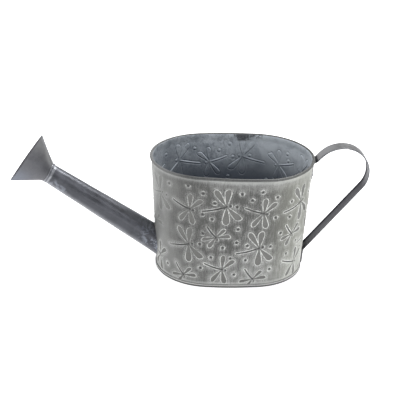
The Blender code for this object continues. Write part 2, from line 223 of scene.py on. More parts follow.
def cut(obj, cutter):
    """Subtract a closed mesh from another for good and remove the cutter."""
    modifier = obj.modifiers.new("cut", "BOOLEAN")
    modifier.operation = "DIFFERENCE"
    modifier.solver = "MANIFOLD"
    modifier.object = cutter
    graph = bpy.context.evaluated_depsgraph_get()
    mesh = bpy.data.meshes.new_from_object(obj.evaluated_get(graph), depsgraph=graph)
    obj.modifiers.clear()
    obj.data = mesh
    bpy.data.objects.remove(cutter, do_unlink=True)


def finish_piece(obj, node):
    """The piece stands for its CAD node and rides on the can."""
    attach(obj, "root")
    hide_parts(node)


# ---------------------------------------------------------------- the oval

def half_size(height):
    """Half length and half depth of the wall's outer face at a height."""
    share = (height - PAN_HEIGHT) / (WALL_TOP - PAN_HEIGHT)
    half_length = PAN_HALF_LENGTH + (RIM_HALF_LENGTH - PAN_HALF_LENGTH) * share
    half_depth = PAN_HALF_DEPTH + (RIM_HALF_DEPTH - PAN_HALF_DEPTH) * share
    return half_length, half_depth


def oval(turn, offset, height):
    """Points of the four-centre oval; turn runs from 0 to 1 round the can from the middle of the front.

    All three may be arrays. offset moves a point outward from the wall's outer face.
    """
    turn, offset, height = np.broadcast_arrays(turn, offset, height)
    half_length, half_depth = half_size(height)
    end_radius = END_RATIO * half_depth
    end_centre = half_length - end_radius
    bulge = half_depth - end_radius
    side_centre = (end_centre ** 2 - bulge ** 2) / (2 * bulge)
    side_radius = half_depth + side_centre
    side_angle = np.arctan2(end_centre, side_centre)
    side_run = side_radius * side_angle
    end_run = end_radius * (math.pi / 2 - side_angle)
    quarter = np.mod(turn, 1.0) * 4
    folded = np.where(np.floor(quarter) % 2 == 0, quarter % 1.0, 1.0 - quarter % 1.0)
    run = folded * (side_run + end_run)
    on_side = run < side_run
    angle = np.where(on_side, run / side_radius, side_angle + (run - side_run) / end_radius)
    radius = np.where(on_side, side_radius, end_radius) + offset
    x = np.where(on_side, 0.0, end_centre) + radius * np.sin(angle)
    y = radius * np.cos(angle) - np.where(on_side, side_centre, 0.0)
    x = np.where(quarter < 2, x, -x)
    y = np.where((quarter >= 1) & (quarter < 3), y, -y)
    return np.stack([x, y, height], axis=-1)


def end_offset(points):
    """How far points near a round end lie outside the wall's outer face."""
    half_length, half_depth = half_size(points[..., 2])
    end_radius = END_RATIO * half_depth
    return np.hypot(np.abs(points[..., 0]) - (half_length - end_radius), points[..., 1]) - end_radius


def wall_x(height, side=0.0):
    """x of the wall's outer face at the handle's end."""
    half_length, half_depth = half_size(height)
    end_radius = END_RATIO * half_depth
    return half_length - end_radius + math.sqrt(end_radius ** 2 - side ** 2)


# ---------------------------------------------------------------- embossed pattern
# Places are (run, height): run goes round the wall from the middle of the front towards the handle.
# A wing is the place of its tip from the junction, its width and how far it bulges to its left-hand side.
# The tail's end and the head are places from the junction too.

DRAGONFLIES = {
    "large": {"wings": ((-11.8, 19.0, 5.8, 0.1), (2.8, 19.9, 6.2, 0.3), (-0.3, -21.8, 7.2, 0.0),
                        (16.2, -14.6, 6.4, -0.55)),
              "tail": (-25.0, -6.3), "head": (3.9, 1.0), "head_size": 1.3},
    "medium": {"wings": ((1.4, 17.6, 5.2, 0.1), (14.0, 11.0, 4.8, 0.45), (-11.4, -15.4, 5.0, -0.2),
                         (3.7, -17.6, 5.8, -0.1)),
               "tail": (-19.5, 6.8), "head": (3.8, -1.0), "head_size": 1.1},
    "small": {"wings": ((10.0, 10.0, 3.8, 0.3), (15.6, 0.6, 4.4, 0.6), (-15.0, -3.8, 3.8, -0.4),
                        (-7.8, -12.2, 4.6, 0.0)),
              "tail": (-9.4, 12.6), "head": (1.8, -2.8), "head_size": 0.8},
}
PLACES = (("large", -9.6, 100.2), ("medium", 30, 91.7), ("large", 78.5, 96.3), ("medium", 114, 95),
          ("large", 148, 101), ("medium", 182, 99), ("large", 225, 105), ("medium", 263, 98),
          ("large", 299, 103), ("medium", 341, 97), ("large", 395.5, 103), ("medium", 436, 94.8),
          ("large", -50, 51.7), ("small", -20, 62.5), ("large", 28.1, 49.4), ("small", 67.7, 60.2),
          ("large", 106, 50), ("small", 146, 61), ("large", 183, 52), ("small", 223, 62), ("large", 262, 52),
          ("small", 300, 61), ("large", 341, 51), ("small", 382, 63), ("small", -57, 11.7),
          ("medium", -12.3, 22.8), ("small", 23, 10.5), ("medium", 78, 21.7), ("small", 106, 11),
          ("medium", 146, 22), ("small", 184, 11), ("medium", 223, 22), ("small", 262, 11),
          ("medium", 300, 22), ("small", 342, 11), ("medium", 389, 23))
FLOWERS = ((-50, 121.7), (-34.2, 114.8), (5.8, 115.5), (1.2, 100.2), (-78.2, 103), (3.5, 73.2), (-34.2, 67),
           (2.7, 56.7), (-12.3, 50.2), (-25, 37.8), (-36.5, 24), (1.5, 16.7), (27.3, 117.5), (16.9, 107.8),
           (43.5, 110.2), (62.3, 101), (61.5, 82.5), (14.6, 52.8), (13.5, 34.8), (62.7, 36.7), (42, 21.7),
           (-22, 104), (-24.6, 84.8), (-34.6, 90.2), (-37.3, 53.6), (-3.5, 37), (-73.5, 118.6), (43.5, 85.5),
           (51.5, 65.2), (40.8, 50.2), (77, 48.6), (-80, 18), (98, 113), (97, 76), (90, 36), (120, 24),
           (125, 70), (131, 112), (130, 38), (160, 80), (162, 42), (172, 115), (170, 107), (192, 110),
           (196, 78), (198, 36), (207, 60), (205, 20), (217, 106), (236, 104), (240, 120), (252, 112),
           (241, 80), (238, 44), (280, 78), (276, 34), (283, 58), (280, 115), (318, 115), (316, 80),
           (318, 40), (322, 18), (322, 62), (356, 112), (358, 78), (362, 40), (366, 20))

LINE_WIDTH = 0.5                # half width of a raised outline
LINE_HEIGHT = 0.38
PANEL_DEPTH = 0.24              # how far the inside of a wing lies below the wall
GROOVE_DEPTH = 0.36
GROOVE_WIDTH = 0.75
LIP_PLACE = 1.4                 # the raised lips lie this far either side of a tail's groove
FLOWER_RADIUS = 2.5
HAZE_REACH = 4.5                # whitewash gathers this far round the figures
WING_SHOULDER = 0.78            # a wing is widest at this share of its length
WING_STEPS = 9


def rise(value, start, end):
    """0 up to start, 1 from end on and straight between; start may be above end."""
    return np.clip((value - start) / (end - start), 0, 1)


def hump(value, middle, width, power=2):
    """A bump of height 1; an even power above 2 flattens its top."""
    return np.exp(-((value - middle) / width) ** power)


def wing_outline(junction, wing):
    """Points round a wing: a wedge from the junction that ends in a blunt round tip."""
    start = np.array(junction, float)
    reach = np.array(wing[:2], float)
    width, lean = wing[2:]
    length = np.hypot(*reach)
    along = reach / length
    across = np.array([-along[1], along[0]])
    tip = np.sin(np.linspace(0, math.pi / 2, WING_STEPS))[1:]
    share = np.linspace(0.03, WING_SHOULDER, WING_STEPS)
    share = np.concatenate([share, WING_SHOULDER + (1 - WING_SHOULDER) * tip])
    wedge = rise(share, 0, WING_SHOULDER)
    widening = 0.45 * wedge + 0.55 * np.sin(wedge * math.pi / 2)
    rounding = np.sqrt(1 - rise(share, WING_SHOULDER, 1) ** 2)
    half = width / 2 * widening * rounding
    spine = start + np.outer(share * length, along)
    upper = spine + np.outer(half * (1 + lean), across)
    lower = spine - np.outer(half * (1 - lean), across)
    return np.concatenate([upper, lower[::-1]])


def segment_distance(run, height, points, closed):
    """Distance from each grid point to a line of points, and whether a closed line holds the point."""
    ends = np.roll(points, -1, axis=0) if closed else points[1:]
    starts = points if closed else points[:-1]
    best = np.full(run.shape, 1e9)
    inside = np.zeros(run.shape, bool)
    for (ax, ay), (bx, by) in zip(starts, ends):
        dx, dy = bx - ax, by - ay
        share = np.clip(((run - ax) * dx + (height - ay) * dy) / max(dx * dx + dy * dy, 1e-9), 0, 1)
        best = np.minimum(best, np.hypot(run - ax - share * dx, height - ay - share * dy))
        if closed and abs(dy) > 1e-12:
            crosses = ((ay > height) != (by > height)) & (run < ax + (height - ay) * dx / dy)
            inside ^= crosses
    return best, inside


class Relief:
    """Fields of the embossed pattern on a grid of (run, height), each from 0 to 1.

    ridge is a raised line, panel the sunken inside of a wing, groove a pressed line or dot, haze the
    surroundings of the figures where whitewash has gathered.
    """

    def __init__(self, heights):
        self.heights = heights
        self.ridge, self.panel, self.groove, self.haze = np.zeros((4, len(heights), WALL_COLUMNS))

    def window(self, middle, reach):
        """Indices and coordinates of the grid points within reach of a place."""
        step = PERIMETER / WALL_COLUMNS
        first = math.floor((middle[0] - reach) / step)
        last = math.ceil((middle[0] + reach) / step)
        column = np.arange(first, last + 1)
        rows = np.nonzero(np.abs(self.heights - middle[1]) <= reach)[0]
        run, height = np.meshgrid(column * step, self.heights[rows])
        return np.ix_(rows, column % WALL_COLUMNS), run, height

    @staticmethod
    def raise_to(field, place, value):
        """The higher of the field and a value."""
        field[place] = np.maximum(field[place], value)

    def gather(self, place, distance):
        """Haze that thins out with the distance from a figure."""
        self.raise_to(self.haze, place, hump(distance.clip(0.0), 0, HAZE_REACH))

    def wing(self, junction, wing):
        """A sunken panel in a raised outline that stays clear of the junction."""
        outline = wing_outline(junction, wing)
        reach = math.hypot(*wing[:2]) / 2 + wing[2] + HAZE_REACH
        place, run, height = self.window((junction[0] + wing[0] / 2, junction[1] + wing[1] / 2), reach)
        distance, inside = segment_distance(run, height, outline, True)
        signed = np.where(inside, -distance, distance)
        from_junction = np.hypot(run - junction[0], height - junction[1])
        self.raise_to(self.ridge, place, rise(from_junction, 1.6, 4.1) * hump(signed, 0.4, LINE_WIDTH))
        self.raise_to(self.panel, place, rise(signed, 0.125, -0.375))
        self.gather(place, signed)

    def tail(self, junction, end):
        """A bent groove with a raised lip along both sides."""
        share = np.linspace(0.0, 1.0, 9)
        bow = 0.03 * np.sin(share * math.pi)
        points = np.outer(share, end) + np.outer(bow, (-end[1], end[0])) + np.array(junction)
        middle = (junction[0] + end[0] / 2, junction[1] + end[1] / 2)
        place, run, height = self.window(middle, math.hypot(*end) / 2 + HAZE_REACH)
        distance = segment_distance(run, height, points, False)[0]
        along = np.hypot(run - junction[0], height - junction[1]) / math.hypot(*end)
        thin = np.clip(1.25 - 0.6 * along, 0.0, 1.0)
        self.raise_to(self.groove, place, thin * hump(distance, 0, GROOVE_WIDTH))
        lips = np.clip(along * 6 - 0.6, 0, 1) * hump(distance, LIP_PLACE, LINE_WIDTH)
        self.raise_to(self.ridge, place, lips)
        self.gather(place, distance - 1.0)

    def dot(self, middle, size, ring):
        """A pressed dot, with a raised arc round it when ring is not 0."""
        place, run, height = self.window(middle, size + HAZE_REACH)
        distance = np.hypot(run - middle[0], height - middle[1])
        facing = np.clip(0.35 + (run - middle[0]) / (distance + 0.5), 0.0, 1.0)
        self.raise_to(self.groove, place, hump(distance, 0, size, 4))
        self.raise_to(self.ridge, place, ring * facing * hump(distance, size + 0.9, 0.45))
        self.gather(place, 1.4 * (distance - size))

    def flower(self, middle):
        """A pressed star in a raised, scalloped and slightly broken ring."""
        place, run, height = self.window(middle, FLOWER_RADIUS + HAZE_REACH)
        distance = np.hypot(run - middle[0], height - middle[1])
        angle = np.arctan2(height - middle[1], run - middle[0])
        petals = np.cos(5 * angle - 1.2)
        broken = 0.75 + 0.25 * np.cos(2 * angle + middle[0])
        self.raise_to(self.ridge, place, broken * hump(distance, FLOWER_RADIUS + 0.25 * petals, 0.6))
        self.raise_to(self.groove, place, hump(distance, 0, 1.35 + 0.4 * petals, 4))
        self.gather(place, 1.4 * (distance - FLOWER_RADIUS))

    def draw(self):
        """Press every figure into the fields."""
        for kind, run, height in PLACES:
            shape = DRAGONFLIES[kind]
            junction = (run, height)
            for wing in shape["wings"]:
                self.wing(junction, wing)
            self.tail(junction, shape["tail"])
            self.dot(junction, 1.3, 0.0)
            head = shape["head"]
            self.dot((run + head[0], height + head[1]), shape["head_size"], 0.9)
        for middle in FLOWERS:
            self.flower(middle)
        self.ridge *= 1.0 - np.clip(self.panel + self.groove, 0.0, 1.0)
        return self

    def offset(self):
        """How far the pattern moves the sheet outward."""
        groove = self.groove * (1 - self.panel)
        return LINE_HEIGHT * self.ridge - PANEL_DEPTH * self.panel - GROOVE_DEPTH * groove


# ---------------------------------------------------------------- can wall, rim and base

def arc(centre, radius, start, end, steps):
    """(offset, height) points along an arc."""
    angle = np.linspace(start, end, steps + 1)
    return np.stack([centre[0] + radius * np.cos(angle), centre[1] + radius * np.sin(angle)], axis=-1)


def eased(start, end, steps):
    """(offset, height) points of an S-shaped step between two places."""
    share = np.linspace(0.0, 1.0, steps + 1)
    bend = share * share * (3 - 2 * share)
    offsets = start[0] + (end[0] - start[0]) * bend
    return np.stack([offsets, start[1] + (end[1] - start[1]) * share], axis=-1)


def wall_profile():
    """(offset, height) points up the inside, over the curl and down the outside, as three arrays."""
    low, high = CURL_HEIGHT - STEP_LOW, CURL_HEIGHT - STEP_HIGH
    centre, under = (0.0, CURL_HEIGHT), CURL_RADIUS - WALL_SHEET
    inner_rows = round((low - WALL_FOOT) / WALL_STEP_INSIDE) + 1
    outer_rows = round((low - WALL_FOOT) / WALL_STEP) + 1
    inside = np.linspace((-WALL_SHEET, WALL_FOOT), (-WALL_SHEET, low), inner_rows)
    rim = np.concatenate([eased((-WALL_SHEET, low), (-CURL_RADIUS, high), STEP_ROWS)[1:],
                          arc(centre, CURL_RADIUS, math.pi, CURL_END, 22),
                          arc(centre, under, CURL_END, math.pi, 14),
                          eased((-under, high), (0.0, low), STEP_ROWS)[:-1]])
    outside = np.linspace((0.0, low), (0.0, WALL_FOOT), outer_rows)
    return inside, rim, outside


def wall_object():
    """The embossed sheet, stepped in under the rim and curled outward over the wire.

    The "relief" attribute holds ridge, panel and groove. The second holds haze, bare rim and, outside, the
    whitewash level with painted light in it; inside, its last value is the relief's slope, and 0.5 is level.
    """
    inside, rim, outside = wall_profile()
    profile = np.concatenate([inside, rim, outside])
    step_end = len(inside) + STEP_ROWS
    inside_rows = step_end + 2
    turns = turns_round(WALL_COLUMNS)
    offset, height = (profile[:, i:i + 1].repeat(WALL_COLUMNS, axis=1) for i in (0, 1))
    fields = np.zeros((*height.shape, 3), np.float32)
    wash_and_light = np.zeros_like(fields)
    step_low = CURL_HEIGHT - STEP_LOW
    for rows in (slice(0, len(inside)), slice(-len(outside), None)):
        heights = profile[rows, 1]
        relief = Relief(heights).draw()
        fade = rise(heights, PAN_HEIGHT, PAN_HEIGHT + 1.5) * rise(heights, step_low, step_low - 1.5)
        fade = fade[:, None] * pressed(turns, heights[:, None])
        offset[rows] += relief.offset() * fade
        fields[rows] = np.stack([relief.ridge, relief.panel, relief.groove], axis=-1) * fade[..., None]
        wash_and_light[rows, :, 0] = relief.haze * fade
        # The relief's slope, which the inside material turns into painted shade and painted highlight.
        wash_and_light[rows, :, 2] = np.clip(0.5 + np.gradient(relief.offset(), heights, axis=0) * fade, 0.0, 1.0)
    bead = (profile[:, 1] > CURL_HEIGHT - CURL_RADIUS - 0.1) & (np.arange(len(profile)) > step_end)
    wash_and_light[bead, :, 1] = 1.0
    wash_and_light[len(inside):inside_rows, :, 2] = 0.5
    # Outside, the whitewash level with its painted light.
    wash_and_light[inside_rows:, :, 2] = wash_and_light_level(turns, height)[inside_rows:]
    offset += 0.16 * waviness(turns, height)
    points = oval(turns, offset, height)
    points[..., 2] += rim_sag(turns) * rise(height, SAG_START, WALL_TOP) ** 2
    wall = grid_object("wall_embossed", points, zinc_outside(), zinc_inside(), smooth=60.0)
    paint(wall, "relief", fields)
    paint(wall, "wash_and_light", wash_and_light)
    index = np.zeros(height.shape, np.int32)
    index[:inside_rows] = 1
    wall.data.polygons.foreach_set("material_index", index.ravel())
    cut(wall, spout_hole_cutter())
    finish_piece(wall, "body_wall")


def signed_run(turn):
    """Run from the front's middle, positive towards the handle and negative towards the spout."""
    return ((turn + 0.5) % 1.0 - 0.5) * PERIMETER


def pressed(turn, height):
    """How deeply the figures are pressed; they are shallow beside the spout, above the lowest row."""
    return 1.0 - 0.44 * hump(signed_run(turn), -92.0, 24.0, 4) * rise(height, 32.0, 48.0)


def wash_and_light_level(turn, height):
    """How much whitewash the outside carries, from 0 to 1, with painted light mixed in: lighter towards the
    ends, darker left of the front's middle and a painted highlight under the rim.
    """
    run = signed_run(turn)
    towards_front = np.cos(TAU * run / PERIMETER) * PERIMETER / TAU
    ahead = rise(towards_front, -60.0, 0.0)
    low = rise(height, 54.0, 16.0)
    band = CURL_HEIGHT - BAND_WIDTH
    corner = CURL_HEIGHT - LINE_UNDER_RIM
    # Lighter towards both ends and at the foot: whitewash with painted light mixed in.
    level = 0.33 * low * (1.0 - 0.4 * rise(run, -10.0, -40.0)) + 0.50 * ahead * rise(run, 62.0, 112.0)
    level += 0.45 * ahead * rise(run, -53.0, -93.0) * (1.0 - 0.4 * low)
    level += 0.22 * rise(towards_front, 0.0, -40.0)
    # Painted shade left of the front's middle.
    level -= 0.12 * hump(run, -36.0, 14.0) * rise(height, 45.0, 85.0)
    level += 0.06 * hump(run, 38.0, 10.0)
    level += 0.30 * ahead * rise(height, 114.0, 123.0) * rise(run, -60.0, -20.0)
    # Painted highlight along the step under the rim, brightest in the corner under the bead.
    level += (0.12 + 0.26 * ahead * rise(run, -50.0, -10.0)) * rise(height, band, band + 1.5)
    level += 0.50 * rise(height, corner, corner + 0.8)
    level += 0.60 * rise(height, 7.5, 5.0)
    return np.clip(level, 0.0, 1.0)


def waviness(turn, height):
    """A slow unevenness of the hand-bent sheet, from -1 to 1 and fading out at the rim and the foot."""
    wave = (np.sin(TAU * (3 * turn + 0.13)) + 0.7 * np.sin(TAU * (7 * turn + height / 190.0))
            + 0.5 * np.sin(TAU * (11 * turn - height / 95.0 + 0.4)))
    foot_fade = rise(height, PAN_HEIGHT, PAN_HEIGHT + 25.0)
    return wave / 2.2 * foot_fade * rise(height, CURL_HEIGHT, CURL_HEIGHT - 25.0)


def rim_sag(turns):
    """The rim is a little high to the left of the front's middle and low to the right."""
    run = signed_run(turns)
    return 0.8 * hump(run, -34.0, 26.0) - 1.2 * hump(run, 48.0, 30.0)


def spout_hole_cutter():
    """A cutter for the spout's hole in the wall."""
    rings = [spout_ring(circle(96), along, spout_radius(along) + GAP)
             for along in (-SPOUT_LENGTH, -SPOUT_LENGTH / 2)]
    return grid_object("cutter", np.stack(rings), wrap_rows=False)


def rim_wire_object():
    """The round wire inside the curl."""
    turns = turns_round(WALL_COLUMNS // 2)
    profile = arc((0.0, CURL_HEIGHT), CURL_RADIUS - WALL_SHEET - GAP, 0.0, TAU, 16)[:-1]
    points = oval(turns, profile[:, :1], profile[:, 1:])
    points[..., 2] += rim_sag(turns)
    wire = grid_object("rim_wire_round", points, steel_wire())
    finish_piece(wire, "rim_wire")


def pan_object():
    """The base: a raised middle panel, a flat foot ring and an upturned flange with a rolled lip."""
    edge, top, flat, bevel = PAN_PANEL_EDGE, PAN_RISE + PAN_SHEET, -30.0, 0.6
    under = [(PAN_MIDDLE, PAN_RISE), (flat, PAN_RISE), (edge - 3.0, PAN_RISE)]
    over = [(edge - 3.0, top), (flat, top), (PAN_MIDDLE, top)]
    profile = np.concatenate([
        under, eased((edge, PAN_RISE), (edge + 0.4, 0.0), 4), [(-3.0, 0.0)],
        arc((PAN_EDGE - bevel, bevel), bevel, -math.pi / 2, 0.0, 5),
        arc((PAN_EDGE - PAN_LIP + 0.12, PAN_HEIGHT - PAN_LIP), PAN_LIP, -0.5, math.pi, 9),
        [(GAP, PAN_SHEET + bevel), (GAP - 0.5, PAN_SHEET), (-5.0, PAN_SHEET)],
        eased((edge + 0.4, PAN_SHEET), (edge, top), 4), over])
    points = oval(turns_round(WALL_COLUMNS // 2), profile[:, :1], profile[:, 1:])
    pan = grid_object("base_pan_formed", points, zinc_base(), wrap_rows=False)
    paint(pan, "wear_and_light", (profile[:, 0] > GAP + 0.1).repeat(WALL_COLUMNS // 2))
    finish_piece(pan, "base_pan")


# ---------------------------------------------------------------- spout

def spout_point(along, across, side):
    """Points given along the spout's axis from its neck, across it in XZ and sideways in Y."""
    place = np.stack(np.broadcast_arrays(along, across, side), axis=-1)
    return (SPOUT_NECK[0], 0.0, SPOUT_NECK[1]) + place @ np.array((SPOUT_OUT, SPOUT_ACROSS, (0.0, 1.0, 0.0)))


def spout_ring(around, along, radius):
    """A ring of the spout; around 0 is its upper side and pi / 2 its back."""
    return spout_point(along, radius * np.cos(around), radius * np.sin(around))


def spout_radius(along):
    """The tube's outer radius; along is 0 at the neck and negative towards the can."""
    return SPOUT_NECK_RADIUS + (SPOUT_ROOT_RADIUS - SPOUT_NECK_RADIUS) * -along / SPOUT_LENGTH


def reach_wall(around, grow, offset):
    """Where along its axis the spout, in each direction, meets the wall moved out by offset."""
    low = np.full(around.shape, -SPOUT_LENGTH)
    high = np.full(around.shape, -SPOUT_LENGTH / 2)
    for _ in range(40):
        middle = (low + high) / 2
        outside = end_offset(spout_ring(around, middle, spout_radius(middle) + grow)) > offset
        high = np.where(outside, middle, high)
        low = np.where(outside, low, middle)
    return (low + high) / 2


def spout_object():
    """The rolled tube with its lapped seam underneath; "place" is along it, upwards and to the back."""
    around = circle(144)
    seam = 0.35 * hump(around, 1.12 * math.pi, 0.13, 6)
    root = reach_wall(around, 0.0, -WALL_SHEET - SPOUT_STUB)
    share = np.linspace(0.0, 1.0, 121)[:, None]
    along = root + (SPOUT_INSERT - root) * share
    radius = spout_radius(along) + 0.07 * np.sin(along / 9.0 + 2 * around) * np.sin(along / 23.0 + 1.0)
    skin = spout_ring(around, along, radius + seam)
    lining = spout_ring(around, along, radius - SPOUT_SHEET)[::-1]
    tube = grid_object("spout_rolled", np.concatenate([skin, lining]), zinc_spout())
    share = np.concatenate([share, share[::-1]])
    place = np.broadcast_arrays(share, np.cos(around) / 2 + 0.5, np.sin(around) / 2 + 0.5)
    paint(tube, "place", np.stack(place, axis=-1))
    finish_piece(tube, "spout_tube")


def solder_object():
    """The lumpy fillet of solder round the tube inside the can."""
    around = circle(128)
    swell = 1.0 + 0.16 * np.sin(5 * around + 0.6) + 0.1 * np.sin(11 * around)
    rings = []
    for width, depth in ((0.05, 0.0), (0.6, 0.0), (1.0, 0.0), (0.92, 0.28), (0.62, 0.62), (0.34, 0.9),
                         (0.05, 1.0)):
        grow = GAP / 2 + SOLDER_WIDTH * width * swell
        along = reach_wall(around, grow, -WALL_SHEET - GAP / 2 - SOLDER_DEPTH * depth * swell)
        rings.append(spout_ring(around, along, spout_radius(along) + grow))
    ring = grid_object("spout_solder_fillet", np.stack(rings), soft_solder(), smooth=80.0)
    finish_piece(ring, "spout_solder")


# ---------------------------------------------------------------- collar, rose and sieve

def collar_object():
    """The ferrule: a band with a bead at each edge."""
    front = ROSE_START - GAP
    back = front - COLLAR_LENGTH
    inner = spout_radius(back) + GAP
    bead, dip = 0.5, 0.35
    face = COLLAR_RADIUS - bead
    profile = np.concatenate([[(back, inner)], arc((back + bead, face), bead, math.pi, dip, 6),
                              arc((front - bead, face), bead, math.pi - dip, 0.0, 6), [(front, inner)]])
    around = circle(96)
    along = profile[:, :1] + neck_lean(profile[:, 1:] * np.cos(around))
    collar = grid_object("collar_beaded", spout_ring(around, along, profile[:, 1:]), zinc_collar())
    aside = np.abs(profile[:, 0] - (front + back) / 2)
    beads = rise(aside, COLLAR_LENGTH / 2 - 1.0, COLLAR_LENGTH / 2 - 0.6)
    paint(collar, "wear_and_light", beads.repeat(len(around)))
    finish_piece(collar, "rose_collar")


def neck_lean(across):
    """The joint with the tube leans: its lower side lies nearer the can by this much."""
    return NECK_LEAN * (across - COLLAR_RADIUS)


def rose_section(share, inset):
    """Half length and half width of the rose at a share of its length."""
    widening = ROSE_MOUTH_HALF_LENGTH - ROSE_NECK_RADIUS
    half_length = ROSE_NECK_RADIUS + widening * np.minimum(share / 0.95, 1.0)
    ease = 1.0 - (1.0 - np.clip(share, 0, 1)) ** 2.0
    half_width = ROSE_NECK_RADIUS + (ROSE_MOUTH_HALF_WIDTH - ROSE_NECK_RADIUS) * ease
    return half_length - inset * (1.0 + share), half_width - inset


def lens(around, half_length, half_width):
    """Points (across, side) of two arcs that meet in the corners; a circle when both halves are equal."""
    radius = (half_length ** 2 + half_width ** 2) / (2 * half_width)
    spread = np.arctan2(half_length, radius - half_width)
    turn = np.mod(around, TAU)
    front = turn > math.pi
    turn = np.where(front, TAU - turn, turn)
    angle = spread * (1.0 - 2.0 * turn / math.pi)
    side = radius * np.cos(angle) - (radius - half_width)
    return radius * np.sin(angle), np.where(front, -side, side)


def rose_ring(around, share, inset, grow=0.0):
    """A ring of the rose at a share of its length, set in by the sheet or grown by the lip."""
    half_length, half_width = rose_section(share, inset)
    across, side = lens(around, half_length + grow, half_width + grow)
    lean = neck_lean(across) * (1.0 - share)
    return spout_point(ROSE_START + ROSE_LENGTH * share + lean, ROSE_SHIFT + across, side)


def rose_object():
    """The fan: a flattened cone with a folded lip round its mouth."""
    around = circle(192)
    shares = np.linspace(0.0, 1.0, 25)
    rings = [rose_ring(around, share, 0.0, 0.35 * rise(share, 0.955, 0.975)) for share in shares]
    rings += [rose_ring(around, share, ROSE_SHEET) for share in shares[::-1]]
    rose = grid_object("rose_fan", np.stack(rings), zinc_rose(), smooth=30.0)
    run = np.concatenate([shares, shares[::-1]])[:, None]
    place = np.broadcast_arrays(run, lens(around, 1.0, 0.3)[0] / 2 + 0.5)
    paint(rose, "place", np.stack(place, axis=-1))
    finish_piece(rose, "rose_shell")


def sieve_object():
    """The perforated plate a little inside the mouth."""
    around = circle(96)
    back = (ROSE_LENGTH - SIEVE_RECESS - SIEVE_SHEET) / ROSE_LENGTH
    front = (ROSE_LENGTH - SIEVE_RECESS) / ROSE_LENGTH
    half_length, half_width = rose_section(back, ROSE_SHEET + 0.05)
    rings = []
    for share, scale in ((back, 0.9), (back, 1.0), (front, 1.0), (front, 0.9)):
        across, side = lens(around, half_length * scale, half_width * scale)
        rings.append(spout_point(ROSE_START + ROSE_LENGTH * share, ROSE_SHIFT + across, side))
    plate = grid_object("rose_sieve_plate", np.stack(rings), wrap_rows=False)
    middle = ROSE_START + ROSE_LENGTH - SIEVE_RECESS
    count = int(2 * SIEVE_HOLE_REACH / SIEVE_HOLE_PITCH)
    rim_across, rim_side = SIEVE_HOLE_RADIUS * np.cos(circle(20)), SIEVE_HOLE_RADIUS * np.sin(circle(20))
    for row, side in enumerate((SIEVE_ROW_OFFSET, -SIEVE_ROW_OFFSET)):
        for i in range(count + 1 - row):
            across = ROSE_SHIFT - SIEVE_HOLE_REACH + SIEVE_HOLE_PITCH * (i + 0.5 * row)
            ends = [spout_point(middle + end, across + rim_across, side + rim_side) for end in (-3.0, 3.0)]
            cut(plate, grid_object("cutter", np.stack(ends), wrap_rows=False))
    # The cuts leave an empty first slot that every face uses, so this material doesn't show on the plate.
    plate.data.materials.append(zinc_rose())
    finish_piece(plate, "rose_sieve")


# ---------------------------------------------------------------- handle

def rounded_path(corners, radii, step):
    """Evenly stepped points of a path with straight runs and a round bend at each inner corner."""
    path = [corners[0]]
    for before, corner, after, radius in zip(corners, corners[1:], corners[2:], radii):
        to_before = (before - corner).normalized()
        to_after = (after - corner).normalized()
        half_angle = to_before.angle(to_after) / 2
        reach = radius / math.tan(half_angle)
        centre = corner + (to_before + to_after).normalized() * (radius / math.sin(half_angle))
        start = corner + to_before * reach - centre
        turn = start.angle_signed(corner + to_after * reach - centre)
        steps = max(6, math.ceil(abs(turn) * radius / step))
        path += [centre + Matrix.Rotation(-turn * i / steps, 2) @ start for i in range(steps + 1)]
    path.append(corners[-1])
    points = np.array([tuple(p) for p in path])
    run = np.concatenate([[0.0], np.cumsum(np.hypot(*np.diff(points, axis=0).T))])
    even = np.linspace(0.0, run[-1], round(run[-1] / step) + 1)
    return np.stack([np.interp(even, run, points[:, 0]), np.interp(even, run, points[:, 1])], axis=-1)


def strap_path():
    """x and z of the strap's face that lies on the wall above and shows outside on the loop."""
    climb = Vector((math.cos(LOOP_RISE), math.sin(LOOP_RISE)))
    fall = Vector((math.cos(LOOP_FALL), math.sin(LOOP_FALL)))
    lower_off = GAP + HEM_DEPTH
    land = LOOP_RETURN.y - (LOOP_RETURN.x - wall_x(TAB_LOW_END) - lower_off) * math.tan(LOOP_FALL)
    corners = [Vector((wall_x(TAB_TOP_END) + GAP, TAB_TOP_END)), Vector((wall_x(TAB_LEAVE) + GAP, TAB_LEAVE)),
               LOOP_START - climb * LOOP_LEAD, LOOP_START + climb * (LOOP_TOP - LOOP_START.y) / climb.y,
               LOOP_RETURN + fall * (LOOP_TOP - LOOP_RETURN.y) / fall.y,
               Vector((wall_x(land) + lower_off, land)),
               Vector((wall_x(TAB_LOW_END) + lower_off, TAB_LOW_END))]
    return rounded_path(corners, LOOP_RADII, STRAP_STEP)


def strap_section(hem):
    """Half of the strap's cross-section as (side, depth), with a rounded folded edge of depth hem."""
    side = STRAP_HALF_WIDTH
    fold = side - HEM_WIDTH
    edge = hem / 2
    half = [(0.0, 0.0), (side * 0.3, 0.0), (side * 0.6, 0.0)]
    half += list(arc((side - edge, -edge), edge, math.pi / 2, -math.pi / 2, 8))
    half += [(fold + 0.5, -hem), (fold + 0.15, -hem + 0.1), (fold, -STRAP_SHEET), (side * 0.5, -STRAP_SHEET),
             (side * 0.25, -STRAP_SHEET), (0.0, -STRAP_SHEET)]
    return np.array(half)


